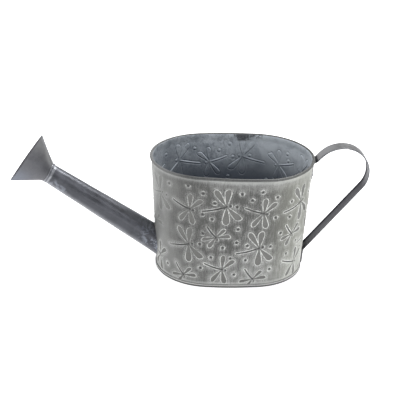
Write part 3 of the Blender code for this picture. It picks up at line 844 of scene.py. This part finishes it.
def strap_object():
    """The strap: two tabs bent to the wall and a loop with hemmed edges.

    The colour attribute holds its edges, its inner side and the painted shade by its joints with the wall.
    """
    path = strap_path()
    run = np.gradient(path, axis=0)
    run /= np.hypot(*run.T)[:, None]
    outward = np.stack([-run[:, 1], run[:, 0]], axis=-1)
    rings, wear_and_light = [], []
    lower_tab = GAP + HEM_DEPTH + 0.4
    landing_top = LOOP_RETURN.y - LANDING_DROP
    crevice_top = LOOP_START.y - CREVICE_DROP
    for point, out in zip(path, outward):
        near_wall = point[0] - wall_x(point[1]) - GAP - STRAP_SHEET
        loose = 1.0 if out[0] > 0.0 else min(max(near_wall / HEM_FADE, 0.0), 1.0)
        half = strap_section(STRAP_SHEET + 0.02 + (HEM_DEPTH - STRAP_SHEET) * loose)
        section = np.concatenate([half, half[-2:0:-1] * (-1, 1)])
        height = min(max(point[1], 0.0), WALL_TOP)
        place = point + section[:, 1:] * out
        fall = np.array([wall_x(height) - wall_x(height, side) for side in section[:, 0]]) * (1.0 - loose)
        rings.append(np.stack([place[:, 0] - fall, section[:, 0], place[:, 1]], axis=-1))
        edge = rise(np.abs(section[:, 0]), STRAP_HALF_WIDTH - 1.1, STRAP_HALF_WIDTH - 0.1)
        inner = rise(section[:, 1], 0.0, -STRAP_SHEET)
        # Painted shade where the lower run nears the wall and where the strap leaves the rim.
        landing = rise(point[1], landing_top, landing_top - LANDING_FADE) * (out[0] > 0.0)
        crevice = rise(point[1], crevice_top, crevice_top - CREVICE_FADE) * (out[0] <= 0.0)
        foot = np.full_like(edge, max(landing, crevice))
        if point[0] < wall_x(max(point[1], 0.0)) + lower_tab:
            foot = 0.3 * foot
            edge = np.minimum(edge * 1.5, 1.0)
        wear_and_light.append(np.stack([edge, inner, foot], axis=-1))
    strap = grid_object("strap_hemmed", np.stack(rings), zinc_strap(), wrap_rows=False)
    paint(strap, "wear_and_light", np.concatenate(wear_and_light))
    finish_piece(strap, "handle_strap")


# ---------------------------------------------------------------- rivets

def rivet_frame(height, side):
    """Matrix whose Z axis points out of the wall's end face at a rivet."""
    step = 0.5  # distance over which the face's slope is taken
    origin = Vector((wall_x(height, side), side, height))
    up = Vector((wall_x(height + step, side), side, height + step)) - origin
    across = Vector((wall_x(height, side + step), side + step, height)) - origin
    outward = across.cross(up).normalized()
    up.normalize()
    return Matrix.Translation(origin) @ Matrix((up, up.cross(outward), outward)).transposed().to_4x4()


def rivet_object(node):
    """A rivet with a round head outside and a flattened tail inside the can."""
    low, high = cad_size(node)
    height = (low.z + high.z) / 2
    side = RIVET_SPACING if high.y + low.y > 0 else -RIVET_SPACING
    outer = GAP + (STRAP_SHEET if "upper" in node else HEM_DEPTH)
    inner = -WALL_SHEET
    tall = RIVET_HEAD_HEIGHT + GAP
    dome = np.linspace(0.0, math.pi / 2, 8)[:-1]
    head = [(RIVET_HEAD_RADIUS * math.cos(a), outer + tall * math.sin(a)) for a in dome]
    tail = [(RIVET_HEAD_RADIUS * math.cos(a), inner - tall * math.sin(a)) for a in dome[::-1]]
    profile = tail + [(RIVET_SHANK_RADIUS, inner), (RIVET_SHANK_RADIUS, outer)] + head
    matrix = rivet_frame(height, side)
    rings = [[matrix @ Vector((radius * math.cos(a), radius * math.sin(a), level)) for a in circle(32)]
             for radius, level in profile]
    rivet = grid_object(node + "_domed", np.array(rings), rivet_steel(), wrap_rows=False)
    finish_piece(rivet, node)


# ---------------------------------------------------------------- materials

class Tree:
    """Builds the nodes of a material or world; a value may be a number, a colour or a node's output."""

    def __init__(self, owner, place="Object"):
        owner.use_nodes = True
        self.owner = owner
        self.tree = owner.node_tree
        self.colour = (1.0, 1.0, 1.0)
        self.place = self.node("ShaderNodeTexCoord")[place]
        self.x, self.y, self.z = self.node("ShaderNodeSeparateXYZ", {0: self.place})

    def feed(self, socket, value):
        """Link a node's output to a socket, or set the socket's own value."""
        if isinstance(value, bpy.types.NodeSocket):
            self.tree.links.new(value, socket)
        else:
            socket.default_value = (*value, 1.0) if socket.type == "RGBA" else value

    def node(self, kind, feeds=(), **settings):
        """The outputs of a new node with the given settings and inputs."""
        made = self.tree.nodes.new(kind)
        for key, value in settings.items():
            setattr(made, key, value)
        for socket, value in dict(feeds).items():
            self.feed(made.inputs[socket], value)
        return made.outputs

    def math(self, operation, first, *others):
        """The operation on two or more values, from left to right."""
        for other in others:
            first = self.node("ShaderNodeMath", {0: first, 1: other}, operation=operation)[0]
        return first

    def times(self, *values):
        return self.math("MULTIPLY", *values)

    def plus(self, *values):
        return self.math("ADD", *values)

    def noise(self, scale, detail=3.0, roughness=0.55, distortion=0.0, stretch=None):
        """Noise from 0 to 1; a stretch below 1 draws it out along that axis."""
        vector = self.place
        if stretch:
            vector = self.node("ShaderNodeMapping", {"Vector": vector, "Scale": stretch})[0]
        return self.node("ShaderNodeTexNoise", {"Vector": vector, "Scale": scale, "Detail": detail,
                                                "Roughness": roughness, "Distortion": distortion})["Fac"]

    def cells(self, scale):
        """A random value for each cell, as in zinc's spangle."""
        made = self.node("ShaderNodeTexVoronoi", {"Vector": self.place, "Scale": scale}, feature="F1")
        return self.node("ShaderNodeSeparateColor", {0: made["Color"]})[0]

    def channels(self, attribute):
        """The three values that paint() stored under a name."""
        made = self.node("ShaderNodeAttribute", attribute_name=attribute)
        return self.node("ShaderNodeSeparateColor", {0: made["Color"]})

    def ramp(self, value, low, high, out_low=0.0, out_high=1.0, kind="SMOOTHSTEP"):
        """out_low up to low, out_high from high on; low may be above high."""
        feeds = {"Value": value, "From Min": low, "From Max": high, "To Min": out_low, "To Max": out_high}
        return self.node("ShaderNodeMapRange", feeds, interpolation_type=kind)[0]

    def mix(self, factor, first, second):
        """The first colour at 0, the second at 1."""
        return self.node("ShaderNodeMix", {0: factor, 6: first, 7: second}, data_type="RGBA")[2]

    def lay(self, factor, tint, share=None):
        """Lay a tint over the colour so far."""
        self.colour = self.mix(factor if share is None else self.times(factor, share), self.colour, tint)

    def finish(self, roughness, metallic, bump=None, strength=0.15, distance=0.0002):
        """Connect the surface, with bump as its fine height, and give the material."""
        shader = self.tree.nodes["Principled BSDF"].inputs
        self.feed(shader["Base Color"], self.colour)
        self.feed(shader["Roughness"], roughness)
        self.feed(shader["Metallic"], metallic)
        if bump is not None:
            made = self.node("ShaderNodeBump", {"Strength": strength, "Distance": distance, "Height": bump})
            self.feed(shader["Normal"], made[0])
        return self.owner


def surface(name):
    """A tree for a new material."""
    return Tree(bpy.data.materials.new(name))


def zinc_outside():
    """Whitewashed embossed zinc: brush streaks, haze round the figures, grey wings, bare rim."""
    t = surface("zinc_whitewashed")
    ridge, panel, groove = t.channels("relief")
    haze, bare, level = t.channels("wash_and_light")
    fine = t.noise(1000.0, 3.0, 0.6, stretch=(1.0, 1.0, 0.14))
    streak = t.noise(330.0, 4.0, 0.6, stretch=(1.0, 1.0, 0.06))
    stain = t.noise(90.0, stretch=(1.0, 1.0, 0.2))
    cloud = t.noise(24.0, 4.0, 0.6)
    speck = t.noise(1300.0, 3.0, 0.7)
    brushed = t.plus(t.times(fine, 0.62), t.times(streak, 0.38))
    # The whitewash level painted on the wall also carries painted light.
    wash_and_light = t.plus(level,
                  t.times(t.ramp(brushed, 0.36, 0.64, -0.17, 0.19), t.ramp(t.x, -0.07, -0.01, 0.25, 1.0)),
                  t.times(t.ramp(speck, 0.36, 0.64, -0.12, 0.12), t.ramp(t.x, -0.07, -0.02, 0.5, 1.0)),
                  t.ramp(stain, 0.34, 0.66, -0.03, 0.03), t.ramp(cloud, 0.36, 0.64, -0.05, 0.06),
                  t.times(t.ramp(haze, 0.15, 0.9), t.ramp(speck, 0.40, 0.60, 0.15, 0.75),
                          t.ramp(t.z, 0.03, 0.08, 0.56, 0.44)))
    t.colour = t.mix(wash_and_light, (0.070, 0.070, 0.066), (0.43, 0.435, 0.42))
    # Painted light: the wall grows lighter towards the handle's end.
    t.lay(t.ramp(t.x, 0.02, 0.085, 0.0, 0.6), t.mix(0.5, t.colour, (0.43, 0.44, 0.36)))
    flat = t.mix(t.ramp(speck, 0.4, 0.6), (0.118, 0.118, 0.11), (0.16, 0.16, 0.152))
    t.lay(t.ramp(panel, 0.3, 0.8, 0.0, 0.95), flat)
    faint = t.times(t.ramp(t.x, -0.012, -0.042, 0.0, 0.45), t.ramp(t.z, 0.03, 0.045))
    pale = t.times(t.ramp(ridge, 0.2, 0.85), t.ramp(t.noise(380.0, 3.0, 0.6), 0.36, 0.56, 0.35, 1.0),
                   t.ramp(t.noise(75.0, 2.0), 0.36, 0.54, 0.55, 1.0), t.math("SUBTRACT", 1.0, faint))
    t.lay(pale, (0.66, 0.665, 0.64))
    t.lay(t.ramp(groove, 0.25, 0.65, 0.0, 0.94), (0.055, 0.055, 0.053))
    rubbed_and_shaded = t.mix(t.ramp(fine, 0.35, 0.65), (0.044, 0.046, 0.045), (0.084, 0.086, 0.084))
    rubbed_and_shaded = t.mix(t.ramp(t.x, -0.05, -0.08, 0.0, 0.7), rubbed_and_shaded, (0.20, 0.202, 0.198))
    # Painted shade: the bead is darker along the back.
    rubbed_and_shaded = t.mix(t.ramp(t.y, 0.0, 0.03, 0.0, 0.6), rubbed_and_shaded, (0.03, 0.031, 0.03))
    t.lay(bare, rubbed_and_shaded, 0.9)
    roughness = t.plus(t.ramp(brushed, 0.3, 0.7, 0.44, 0.58), t.times(pale, -0.05))
    return t.finish(roughness, 0.35, t.plus(brushed, t.times(speck, 0.4)), 0.4, 0.00025)


def zinc_inside():
    """Bare galvanised inside: blue-grey spangle, water marks, dark patches under the back rim, painted light
    and shade.
    """
    t = surface("zinc_inside")
    groove = t.channels("relief")[2]
    slope = t.channels("wash_and_light")[2]
    spangle = t.cells(190.0)
    cloud = t.noise(55.0, 5.0, 0.66, 0.4)
    drip = t.noise(110.0, 4.0, 0.6, stretch=(1.0, 1.0, 0.25))
    stain = t.noise(170.0, 3.0, 0.6, 1.2)
    speck = t.noise(900.0, 3.0, 0.7)
    t.colour = t.mix(t.ramp(cloud, 0.36, 0.64), (0.45, 0.487, 0.525), (0.78, 0.825, 0.86))
    t.lay(spangle, (0.66, 0.71, 0.76), 0.2)
    t.lay(t.ramp(drip, 0.5, 0.7, 0.0, 0.5), (0.70, 0.74, 0.77))
    t.lay(t.ramp(speck, 0.5, 0.66, 0.0, 0.5), (0.26, 0.28, 0.31))
    t.lay(t.ramp(stain, 0.5, 0.62, 0.0, 0.45), (0.22, 0.24, 0.27))
    # Painted light: the inner wall is lighter towards the handle's end.
    t.lay(t.times(t.ramp(t.x, -0.02, 0.065), t.ramp(cloud, 0.34, 0.6, 0.6, 1.0)), (0.92, 0.97, 1.0))
    # Painted shade: the inside grows darker towards the bottom.
    t.lay(t.ramp(t.z, 0.074, 0.130, 0.95, 0.0), (0.085, 0.10, 0.128))
    # Painted shade: the inside is darker towards the spout's end.
    t.lay(t.ramp(t.x, -0.015, -0.07, 0.0, 0.36), (0.13, 0.145, 0.165))
    t.lay(dark_blots(t), (0.17, 0.175, 0.185))
    # Painted shade and painted highlight on the relief, as if lit from above: faces that tilt down are
    # darker, faces that tilt up lighter.
    shade = t.math("MAXIMUM", t.ramp(slope, 0.42, 0.12, 0.0, 0.8), t.ramp(groove, 0.5, 0.95, 0.0, 0.12))
    t.lay(shade, (0.05, 0.06, 0.08))
    t.lay(t.times(t.ramp(slope, 0.58, 0.86, 0.0, 0.5), t.ramp(cloud, 0.3, 0.6, 0.5, 1.0)), (0.78, 0.84, 0.90))
    return t.finish(t.ramp(cloud, 0.3, 0.7, 0.42, 0.58), 0.3, t.plus(spangle, speck), 0.12)


def dark_blots(t):
    """Three ragged blots that merge under the back rim: middle and reach in x, start in z."""
    ragged = t.times(t.math("SUBTRACT", t.noise(260.0, 2.0), 0.5), 0.014)
    x = t.plus(t.x, ragged)
    z = t.plus(t.z, t.times(ragged, 0.5))
    blots = []
    for middle, near, far, low, high in ((0.0175, 0.005, 0.0095, 0.1225, 0.127),
                                         (0.0195, 0.009, 0.013, 0.1285, 0.1305),
                                         (0.036, 0.001, 0.003, 0.127, 0.129)):
        aside = t.math("ABSOLUTE", t.math("SUBTRACT", x, middle), 0.0)
        blots.append(t.times(t.ramp(aside, near, far, 1.0, 0.0), t.ramp(z, low, high)))
    return t.times(t.math("MAXIMUM", *blots), t.ramp(t.y, 0.0, 0.01), t.ramp(t.noise(300.0), 0.3, 0.5))


def dark_zinc(name, low, high, wear_and_light, rough=(0.3, 0.44), stretch=(0.12, 1.0, 0.12)):
    """Darkened zinc sheet: mottle, spangle, rolling marks and specks under each piece's own worn marks and
    painted light.
    """
    t = surface(name)
    rolling = t.noise(320.0, 4.0, 0.6, stretch=stretch)
    mottle = t.noise(70.0, 4.0, 0.6)
    spangle = t.cells(230.0)
    speck = t.noise(1500.0, 2.0, 0.6)
    t.colour = t.mix(t.ramp(mottle, 0.3, 0.7), low, high)
    t.lay(spangle, [1.5 * c for c in high], 0.16)
    t.lay(t.ramp(rolling, 0.55, 0.75, 0.0, 0.35), [1.35 * c for c in high])
    t.lay(t.ramp(speck, 0.58, 0.72, 0.0, 0.4), [0.5 * c for c in low])
    wear_and_light(t)
    roughness = t.plus(t.ramp(mottle, 0.3, 0.7, *rough), t.times(spangle, 0.04))
    return t.finish(roughness, 0.7, t.plus(rolling, t.times(speck, 0.5)))


def zinc_spout():
    """Dark dusty zinc: a painted dark reflection along the side, a pale top and scuffs at both ends."""
    def wear_and_light(t):
        along, upper, back = t.channels("place")
        scuff = t.noise(150.0, 5.0, 0.7, 0.8)
        # Painted reflection: a dark band along the tube's side.
        t.lay(t.times(t.ramp(upper, 0.68, 0.52), t.ramp(upper, 0.18, 0.38)), (0.030, 0.031, 0.037), 0.62)
        t.lay(t.times(t.ramp(upper, 0.8, 0.95), t.ramp(along, 0.55, 0.15)), (0.22, 0.225, 0.245), 0.5)
        near_neck = t.times(t.ramp(along, 0.76, 0.9), t.ramp(scuff, 0.46, 0.6), t.ramp(upper, 0.62, 0.4),
                            t.ramp(back, 0.5, 0.2), 0.6)
        near_root = t.times(t.ramp(along, 0.26, 0.06), t.ramp(scuff, 0.47, 0.62))
        t.lay(t.plus(near_neck, near_root), (0.36, 0.39, 0.45), 0.6)
        t.lay(t.times(t.ramp(along, 0.965, 0.975), t.ramp(scuff, 0.3, 0.5, 0.5, 0.9)), (0.34, 0.35, 0.37))
    return dark_zinc("zinc_spout", (0.088, 0.091, 0.101), (0.133, 0.137, 0.153), wear_and_light, rough=(0.27, 0.38))


def zinc_collar():
    """Dark zinc with worn beads."""
    def wear_and_light(t):
        broken = t.ramp(t.noise(500.0, 3.0, 0.6), 0.3, 0.55, 0.5, 0.9)
        t.lay(t.times(t.channels("wear_and_light")[0], broken), (0.36, 0.365, 0.39))
    return dark_zinc("zinc_collar", (0.085, 0.088, 0.098), (0.14, 0.145, 0.16), wear_and_light)


def zinc_rose():
    """Dull zinc: painted reflections, paler above and bluish below; a painted highlight on top; painted shade
    at the lip.
    """
    def wear_and_light(t):
        run, upper, _ = t.channels("place")
        soft = t.noise(90.0, 4.0, 0.6)
        # Painted reflections: paler towards the top corner, bluish towards the bottom.
        t.lay(t.times(t.ramp(upper, 0.6, 0.98), t.ramp(soft, 0.3, 0.6, 0.6, 1.0)), (0.28, 0.28, 0.27), 0.5)
        t.lay(t.times(t.ramp(upper, 0.42, 0.05), t.ramp(run, 0.2, 0.9)), (0.25, 0.28, 0.34), 0.4)
        # Painted highlight along the top edge.
        t.lay(t.times(t.ramp(upper, 0.93, 0.985), t.ramp(run, 0.98, 0.9)), (0.42, 0.43, 0.44), 0.3)
        # Painted shade at the lip, inside and out.
        t.lay(t.ramp(run, 0.955, 0.985, 0.0, 0.75), (0.06, 0.06, 0.065))
    low, high = (0.100, 0.100, 0.108), (0.138, 0.139, 0.149)
    return dark_zinc("zinc_rose", low, high, wear_and_light, (0.45, 0.58), (1.0, 1.0, 1.0))


def zinc_strap():
    """Dark zinc with a painted highlight where the loop faces up, worn edges and painted shade at its joints.
    """
    def wear_and_light(t):
        edge, inner, foot = t.channels("wear_and_light")
        mottle = t.ramp(t.noise(160.0, 4.0, 0.6), 0.3, 0.65)
        outer = t.mix(mottle, (0.135, 0.135, 0.135), (0.215, 0.215, 0.215))
        # Painted highlight: the strap is paler where the loop rises from the rim and faces up.
        outer = t.mix(t.ramp(t.x, 0.120, 0.102, 0.0, 0.85), outer, (0.38, 0.38, 0.385))
        outer = t.mix(t.ramp(edge, 0.0, 0.6, 0.0, 0.5), outer, (0.12, 0.12, 0.125))
        t.lay(t.ramp(inner, 0.3, 0.1, 0.0, 0.9), outer)
        # Painted shade by the strap's joints with the wall.
        t.lay(foot, (0.012, 0.012, 0.018), 0.95)
        broken = t.ramp(t.noise(350.0, 3.0, 0.6), 0.35, 0.6, 0.4, 1.0)
        t.lay(t.times(edge, broken, t.ramp(inner, 0.3, 0.8, 0.1, 0.65)), (0.30, 0.305, 0.32))
    low, high = (0.058, 0.057, 0.066), (0.092, 0.091, 0.102)
    return dark_zinc("zinc_strap", low, high, wear_and_light, stretch=(0.2, 1.0, 0.2))


def zinc_base():
    """Dull zinc with a pale lip along the top of the flange and painted shade below it."""
    t = surface("zinc_base")
    mottle = t.noise(60.0, 5.0, 0.6)
    fine = t.noise(800.0, 3.0, 0.7)
    flange = t.channels("wear_and_light")[0]
    t.colour = t.mix(t.ramp(mottle, 0.3, 0.7), (0.16, 0.16, 0.157), (0.26, 0.26, 0.252))
    t.lay(t.cells(150.0), (0.4, 0.4, 0.4), 0.15)
    t.lay(t.times(flange, t.ramp(t.z, 0.0023, 0.0028, 0.0, 0.95)), (0.60, 0.60, 0.58))
    # Painted shade on the flange below the lip, down to the floor.
    t.lay(t.times(flange, t.ramp(t.z, 0.0026, 0.0020, 0.0, 0.85)), (0.065, 0.065, 0.065))
    t.lay(t.ramp(fine, 0.5, 0.7, 0.0, 0.35), (0.12, 0.12, 0.12))
    return t.finish(t.ramp(mottle, 0.3, 0.7, 0.42, 0.58), 0.5, fine)


def plain_metal(name, low, high, scale, rough, metallic, bump_scale, strength, distance):
    """Mottled metal for the small pieces; scale is the mottling's and bump_scale the fine grain's."""
    t = surface(name)
    mottle = t.noise(scale, 4.0, 0.6)
    t.colour = t.mix(t.ramp(mottle, 0.3, 0.7), low, high)
    fine = t.noise(bump_scale, 3.0, 0.6) if bump_scale else mottle
    return t.finish(t.ramp(mottle, 0.3, 0.7, *rough), metallic, fine, strength, distance)


def soft_solder():
    """Bright lumpy solder."""
    low, high = (0.3, 0.31, 0.33), (0.5, 0.51, 0.53)
    return plain_metal("soft_solder", low, high, 260.0, (0.3, 0.5), 0.9, None, 0.4, 0.0004)


def plain_steel(name, low, high):
    """Fine-grained steel between two colours."""
    return plain_metal(name, low, high, 400.0, (0.32, 0.5), 0.8, 1800.0, 0.15, 0.0001)


def steel_wire():
    """Drawn steel."""
    return plain_steel("steel_wire", (0.22, 0.22, 0.23), (0.36, 0.36, 0.37))


def rivet_steel():
    """Dull steel."""
    return plain_steel("rivet_steel", (0.13, 0.135, 0.15), (0.24, 0.245, 0.26))


# ---------------------------------------------------------------- studio

CAMERA_AZIMUTH = math.radians(-3.561)
CAMERA_ELEVATION = math.radians(25.0)
CAMERA_ROLL = math.radians(1.779)
CAMERA_DISTANCE = 1.2
CAMERA_TARGET = Vector((-0.034338, 0.0, 0.078070))
CAMERA_LENS = 96.482
CAMERA_SENSOR = 36.0

# Softboxes: name, place, the point that it faces, width, height and power in watts.
SOFTBOXES = (("top_softbox", (-0.2, 0.1, 1.5), (0.0, 0.0, 0.1), 1.4, 1.0, 7.0),
             ("spout_strip", (0.49, 0.645, 1.26), (-0.15, 0.0, 0.1), 0.38, 0.27, 12.5),
             ("right_fill", (1.5, -0.9, 0.8), (0.0, 0.0, 0.08), 1.0, 1.0, 11.0),
             ("left_fill", (-1.5, -0.6, 1.2), (0.0, 0.0, 0.08), 0.9, 0.9, 5.0))
WORLD_STRENGTH = 0.8


def add_camera():
    """A camera at the reference view, aimed at a point in the plane of symmetry."""
    back = Vector((math.sin(CAMERA_AZIMUTH) * math.cos(CAMERA_ELEVATION),
                   -math.cos(CAMERA_AZIMUTH) * math.cos(CAMERA_ELEVATION), math.sin(CAMERA_ELEVATION)))
    level = Vector((0.0, 0.0, 1.0)).cross(back).normalized()
    upright = back.cross(level)
    right = level * math.cos(CAMERA_ROLL) + upright * math.sin(CAMERA_ROLL)
    data = bpy.data.cameras.new("camera")
    data.lens, data.sensor_width = CAMERA_LENS, CAMERA_SENSOR
    data.clip_start, data.clip_end = 0.05, 20.0
    camera = link_object("camera", data)
    camera.matrix_world = (Matrix.Translation(CAMERA_TARGET + back * CAMERA_DISTANCE)
                           @ Matrix((right, back.cross(right), back)).transposed().to_4x4())
    bpy.context.scene.camera = camera


def add_floor():
    """A plain pale floor that glows a little, so that it stays white."""
    bpy.ops.mesh.primitive_plane_add(size=12.0)
    floor = bpy.context.object
    floor.name = "studio_floor"
    t = surface("pale_floor")
    t.colour = t.mix(t.noise(30.0), (0.86, 0.86, 0.86), (0.9, 0.9, 0.9))
    shader = t.tree.nodes["Principled BSDF"].inputs
    shader["Specular IOR Level"].default_value = 0.1
    shader["Emission Color"].default_value = (1.0, 1.0, 1.0, 1.0)
    shader["Emission Strength"].default_value = 0.7
    floor.data.materials.append(t.finish(0.9, 0.0))


def add_softbox(name, place, aim, width, height, power):
    """A rectangular light that faces a point."""
    data = bpy.data.lights.new(name, "AREA")
    data.shape = "RECTANGLE"
    data.size, data.size_y = width, height
    data.energy = power
    light = link_object(name, data)
    light.location = place
    light.rotation_euler = (Vector(aim) - Vector(place)).to_track_quat("-Z", "Y").to_euler()


def add_studio():
    """A soft daylight tent, darker in front and pale behind, and four softboxes."""
    world = bpy.data.worlds.new("studio")
    t = Tree(world, "Generated")
    up = t.ramp(t.z, 0.05, 0.85, kind="LINEAR")
    front = t.mix(up, (0.26, 0.27, 0.29), (0.60, 0.61, 0.64))
    behind = t.mix(up, (0.85, 0.86, 0.88), (0.7, 0.71, 0.74))
    background = t.tree.nodes["Background"].inputs
    t.feed(background["Color"], t.mix(t.ramp(t.y, -0.2, 0.6, kind="LINEAR"), front, behind))
    t.feed(background["Strength"], WORLD_STRENGTH)
    bpy.context.scene.world = world
    for softbox in SOFTBOXES:
        add_softbox(*softbox)
    bpy.context.scene.view_settings.view_transform = "Standard"


# ---------------------------------------------------------------- build

def build():
    """The camera, the can's thirteen pieces, the floor and the light."""
    add_camera()
    wall_object()
    rim_wire_object()
    pan_object()
    spout_object()
    solder_object()
    collar_object()
    rose_object()
    sieve_object()
    strap_object()
    for node in sorted(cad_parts):
        if node.startswith("rivet_"):
            rivet_object(node)
    add_floor()
    add_studio()


build()
